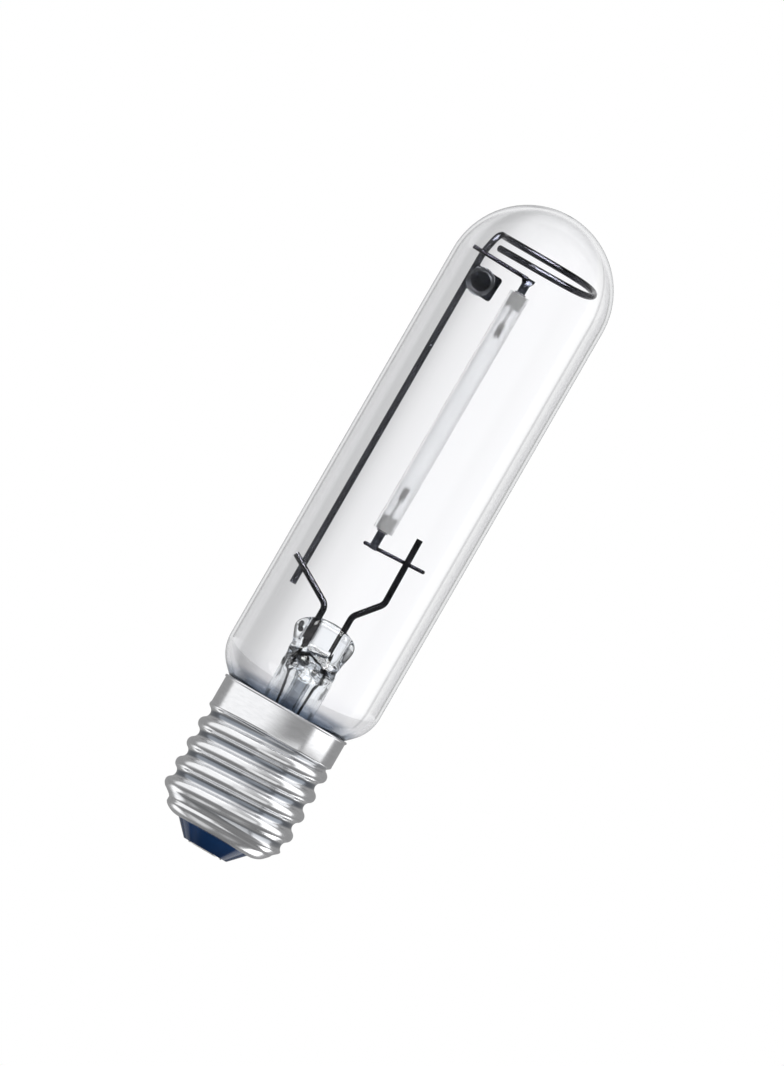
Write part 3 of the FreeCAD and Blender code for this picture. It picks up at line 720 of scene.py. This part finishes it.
def pinch_rings():
    """The pinch from its foot to its top, where the rings get closer."""
    rings = []
    height = PRESS_FOOT
    top = STEM_HIGH.z
    while height < top - LAST_STEP:
        rings.append(stem_outer_ring(height))
        height += PRESS_STEP if height < ROUNDED_FROM else max(LAST_STEP, (top - height) * 0.12)
    return rings + [[(-0.3, 0, top)]]


def crown_rings():
    """Underside of the pinch: folded glass round the mouth of the exhaust tube."""
    crown = filleted([
        (6.6, 54.5, 0), (6.75, 58.9, 0.5), (5.6, 58.5, 0.8), (4.4, 56.4, 1.6), (2.5, 55.6, 0.6),
        (EXHAUST_RADIUS, EXHAUST_JOINT, 0), (EXHAUST_BORE, EXHAUST_JOINT, 0),
        (EXHAUST_BORE, CROWN_TOP, 1.2), (0, CROWN_TOP, 0),
    ])
    rings = []
    for radius, height in crown[:-1]:
        depth = 1 - 0.25 * ease(height, 56.4, 59.0)
        loose = ease(height, 54.8, 56.0) * plateau(radius, 1.6, 3.0, 6.0, 6.6)
        rings.append(round_ring(radius, height, depth, CROWN_WOBBLE * loose))
    return rings + [[(0, 0, CROWN_TOP)]]


def make_stem(materials):
    """Flare, tube and pinch in one closed skin, with the stub that the exhaust tube is fused to."""
    outside = flare_rings(FLARE_RADIUS)
    outside += [round_ring(STEM_RADIUS, height) for height in (48.0, 51.0, 54.0, 55.5)]
    outside += pinch_rings()
    inside = flare_rings(FLARE_RADIUS + STEM_WALL)
    inside += [round_ring(STEM_RADIUS - STEM_WALL, height) for height in (48.0, 51.0, 54.0)]
    inside += crown_rings()
    vertices, faces = joined_rings(list(reversed(outside)) + inside, False)
    flipped = [tuple(reversed(face)) for face in faces]
    return piece("stem", vertices, flipped, materials["stem_glass"], "stem_glass", 60.0)


def make_exhaust_tube(materials):
    """Tube with a round closed tip in the cap and an open end at the pinch."""
    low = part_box("exhaust_tube")[0].z / MM
    joint = EXHAUST_JOINT - 0.02
    tip = low + EXHAUST_RADIUS - EXHAUST_BORE
    outline = filleted([
        (0, low, 0), (EXHAUST_RADIUS, low, EXHAUST_RADIUS * 0.98), (EXHAUST_RADIUS, joint, 0),
        (EXHAUST_BORE, joint, 0), (EXHAUST_BORE, tip, EXHAUST_BORE * 0.98), (0, tip, 0),
    ])
    vertices, faces = lathe(outline, EXHAUST_SEGMENTS, False)
    return piece("exhaust", vertices, faces, materials["exhaust_glass"], "exhaust_tube")


# --- Getter ---------------------------------------------------------------------------------

CUP_WIDTH = 1.3
CUP_LIP = 0.17
CUP_FLOOR = 0.35
CUP_SEGMENTS = 96
LIP_STEPS = 8


def lip_points(middle, height):
    points = []
    for step in range(LIP_STEPS + 1):
        turn = math.pi * step / LIP_STEPS
        points.append((middle + CUP_LIP * math.cos(turn), height + CUP_LIP * math.sin(turn)))
    return points


def make_getter_cup(materials):
    """Ring-shaped channel with round lips, standing on the getter's plate."""
    low, high = box_mm("getter_ring")
    outer = (high.x - low.x) / 2
    inner = outer - CUP_WIDTH
    lip_height = high.y - low.y - CUP_LIP
    profile = lip_points(outer - CUP_LIP, lip_height)
    profile += [(outer - 2 * CUP_LIP, CUP_FLOOR), (inner + 2 * CUP_LIP, CUP_FLOOR)]
    profile += lip_points(inner + CUP_LIP, lip_height)
    profile += [(inner, 0.0), (outer, 0.0)]
    vertices, faces = lathe(profile, CUP_SEGMENTS, True)
    centre_x, centre_z = (low.x + high.x) / 2, (low.z + high.z) / 2
    turned = [(centre_x + x, high.y - height, centre_z + y) for x, y, height in vertices]
    metal = materials["getter_cup_metal"]
    return piece("getter_cup", turned, faces, metal, "getter_ring")


# --- Light ----------------------------------------------------------------------------------

# Studio panels: (bearing from, to, soft edges), (elevation from, to, soft edge), brightness. Bearings are
# degrees round Z from the -Y direction, positive towards +X.
PANELS = [
    ((-117, 0, 3, 27), (-14, 78, 12), 0.80),
    ((62, 112, 2), (-14, 78, 8), 1.15),
    ((-5, 62, 6), (20, 62, 12), 0.22),
    ((-181, 181, 1), (60, 95, 25), 0.35),
    ((-181, 181, 1), (-66, -32, 10), -0.10),
    ((-181, 181, 1), (-95, -74, 9), -0.10),
    ((-166, -106, 10), (-84, -54, 8), 0.50),
    ((110, 160, 10), (-84, -66, 6), 0.20),
    ((130, 160, 4), (-46, -28, 4), 2.30),
    ((-160, -130, 5), (-46, -28, 4), 1.15),
]
STUDIO_GREY = 0.33

# What is seen through glass: bright in the four main directions, dim between them, dark above and below
CLEAR_HALF_WIDTH = 26
CLEAR_SOFT = 7
CLEAR_HALF_HEIGHT = 36
CLEAR_BRIGHTNESS = 1.0
DIM_BRIGHTNESS = 0.22
DARK_BRIGHTNESS = 0.05

# Share of that light left for what the near wall of the bulb mirrors from anywhere but the rear
MIRRORED_SHARE = 0.25
REAR_BEARING = 140.0

# Lamp for the highlights on the wires: it is met only after a ray has passed the bulb's wall twice
LAMPS = [
    ((-24, 54, 7), (17, 68, 4), 60.0),
]
LAMP_SURFACES = 4.0


def panels_of(tree, panels, total, bearing, elevation):
    for bearings, elevations, brightness in panels:
        across = window_of(tree, bearing, *bearings)
        up = window_of(tree, elevation, *elevations)
        total = maths(tree, "MULTIPLY_ADD", maths(tree, "MULTIPLY", across, up), brightness, total)
    return total


def light_through_glass(tree, depth, bearing, elevation):
    """Brightness for rays that have passed glass; depth counts the glass surfaces passed."""
    folded = maths(tree, "ABSOLUTE", maths(tree, "WRAP", bearing, 45.0, -45.0))
    clear = window_of(tree, folded, -90, CLEAR_HALF_WIDTH, CLEAR_SOFT)
    level = window_of(tree, elevation, -CLEAR_HALF_HEIGHT, CLEAR_HALF_HEIGHT, 8)
    bright = spread(tree, clear, 0.0, 1.0, DIM_BRIGHTNESS, CLEAR_BRIGHTNESS)
    around = maths(tree, "MULTIPLY_ADD", bright, level, DARK_BRIGHTNESS)
    on_wires = maths(tree, "COMPARE", depth, LAMP_SURFACES, 0.5)
    lamps = maths(tree, "MULTIPLY", panels_of(tree, LAMPS, 0.0, bearing, elevation), on_wires)
    deep = maths(tree, "GREATER_THAN", depth, 2.5)
    behind = maths(tree, "GREATER_THAN", maths(tree, "ABSOLUTE", bearing), REAR_BEARING)
    kept = maths(tree, "MAXIMUM", maths(tree, "MAXIMUM", deep, behind), MIRRORED_SHARE)
    return maths(tree, "MULTIPLY", maths(tree, "ADD", around, lamps), kept)


def chosen_by(tree, factor, first, second):
    made = add_node(tree, "ShaderNodeMix", {0: factor, 2: first, 3: second}, data_type="FLOAT")
    return made.outputs[0]


def make_world():
    """White backdrop for the camera, one light for what is seen through glass, the studio for the rest."""
    world = bpy.data.worlds.new("studio")
    bpy.context.scene.world = world
    world.use_nodes = True
    tree = world.node_tree
    tree.nodes.clear()
    x, y, z = axes_of(tree, "Generated")
    bearing = maths(tree, "DEGREES", maths(tree, "ARCTAN2", x, maths(tree, "MULTIPLY", y, -1.0)))
    elevation = maths(tree, "DEGREES", maths(tree, "ARCSINE", z))
    path = add_node(tree, "ShaderNodeLightPath").outputs
    studio = panels_of(tree, PANELS, STUDIO_GREY, bearing, elevation)
    through = light_through_glass(tree, path["Transmission Depth"], bearing, elevation)
    inner = chosen_by(tree, path["Is Transmission Ray"], studio, through)
    brightness = chosen_by(tree, path["Is Camera Ray"], inner, 1.0)
    background = add_node(tree, "ShaderNodeBackground", {"Color": brightness})
    add_node(tree, "ShaderNodeOutputWorld", {"Surface": background.outputs["Background"]})


# --- Stage ----------------------------------------------------------------------------------

FLOOR_HALF = 1500.0
CARD_CORNERS = [(-8.0, -65.0, -10.0), (52.0, -48.0, -10.0), (52.0, -48.0, 27.0), (-8.0, -65.0, 27.0)]
FILM_HALF_WIDTH = 60.0
FILM_DISTANCE = 120.0
FILM_LOW = -20.0
FILM_HIGH = 250.0

# Shade against the distance across the film
FILM_SHADES = [
    (-60, 1.0), (-50, 0.90), (-44.5, 0.86), (-35.5, 0.83), (-32, 0.73), (-30.5, 0.68), (-27.4, 0.55),
    (-24.8, 0.54), (-21, 0.58), (-17.5, 0.66), (-14.6, 0.76), (-12, 0.82), (-9.5, 0.85), (-5.9, 0.88),
    (0, 0.935), (9.6, 0.955), (16, 0.93), (18.5, 0.94), (20.8, 0.95), (22.7, 1.0), (28.6, 1.0),
    (30.7, 0.70), (32.8, 1.0), (44.5, 0.97), (60, 1.0),
]


def stage_sheet(name, corners, material):
    mesh = bpy.data.meshes.new(name)
    mesh.from_pydata([tuple(Vector(corner) * MM) for corner in corners], [], [(0, 1, 2, 3)])
    sheet = bpy.data.objects.new(name, mesh)
    bpy.context.scene.collection.objects.link(sheet)
    mesh.materials.append(material)
    return sheet


def make_floor():
    level = CAD_BOX[0].z / MM
    corners = [(x * FLOOR_HALF, y * FLOOR_HALF, level) for x, y in ((-1, -1), (1, -1), (1, 1), (-1, 1))]
    glow = {"Emission Color": (1, 1, 1, 1), "Emission Strength": 0.17}
    pale = surface("floor", (0.80, 0.80, 0.80), (0.83, 0.83, 0.83), (0.7, 0.8), 0.0, 20.0, 0.0, plain=glow)
    floor = stage_sheet("floor", corners, pale)
    floor.visible_glossy = False


def make_front_card():
    """Low lit card in front of the cap, to the right, that shows only in reflections, as in the thread."""
    material, _, light = empty_material("front_card", "ShaderNodeEmission")
    set_plain(light, {"Color": (1.0, 1.0, 1.0, 1.0), "Strength": 0.95})
    card = stage_sheet("front_card", CARD_CORNERS, material)
    card.visible_camera = False
    card.visible_transmission = False
    card.visible_diffuse = False
    card.visible_shadow = False


def make_rear_film():
    """Film behind the bulb that shades only what is seen through glass, and most of all on the left."""
    material, tree, clear = empty_material("rear_film", "ShaderNodeBsdfTransparent")
    half = FILM_HALF_WIDTH
    across = spread(tree, axes_of(tree, "Object")[0], -half * MM, half * MM)
    stops = []
    for place, shade in FILM_SHADES:
        stops.append((place / (2 * half) + 0.5, (shade, shade, min(1.0, shade * 1.012))))
    tree.links.new(ramp_of(tree, across, stops), clear.inputs["Color"])
    corners = [
        (-half, FILM_DISTANCE, FILM_LOW), (half, FILM_DISTANCE, FILM_LOW),
        (half, FILM_DISTANCE, FILM_HIGH), (-half, FILM_DISTANCE, FILM_HIGH),
    ]
    film = stage_sheet("rear_film", corners, material)
    film.visible_camera = False
    film.visible_glossy = False
    film.visible_diffuse = False
    film.visible_shadow = False


def make_camera():
    """Level view along +Y, rolled so that the lamp leans to the right, in parallel projection."""
    data = bpy.data.cameras.new("camera")
    data.type = "ORTHO"
    data.ortho_scale = VIEW_HEIGHT * MM
    camera = bpy.data.objects.new("camera", data)
    bpy.context.scene.collection.objects.link(camera)
    upright = Matrix.Rotation(math.radians(90), 4, "X")
    place = Vector((VIEW_CENTRE_X, -CAMERA_DISTANCE, VIEW_CENTRE_Z)) * MM
    camera.matrix_world = Matrix.Translation(place) @ upright @ Matrix.Rotation(ROLL, 4, "Z")
    bpy.context.scene.camera = camera


def set_picture():
    scene = bpy.context.scene
    scene.view_settings.view_transform = "Standard"
    scene.cycles.max_bounces = 24
    scene.cycles.transmission_bounces = 20
    scene.cycles.transparent_max_bounces = 16
    scene.cycles.glossy_bounces = 8
    scene.cycles.caustics_refractive = True
    scene.cycles.use_denoising = True


make_world()
make_camera()
make_floor()
make_front_card()
make_rear_film()
materials = make_materials()
use_materials(materials)
make_bulb(materials)
make_shell(materials)
make_stem(materials)
make_exhaust_tube(materials)
make_getter_cup(materials)
set_picture()
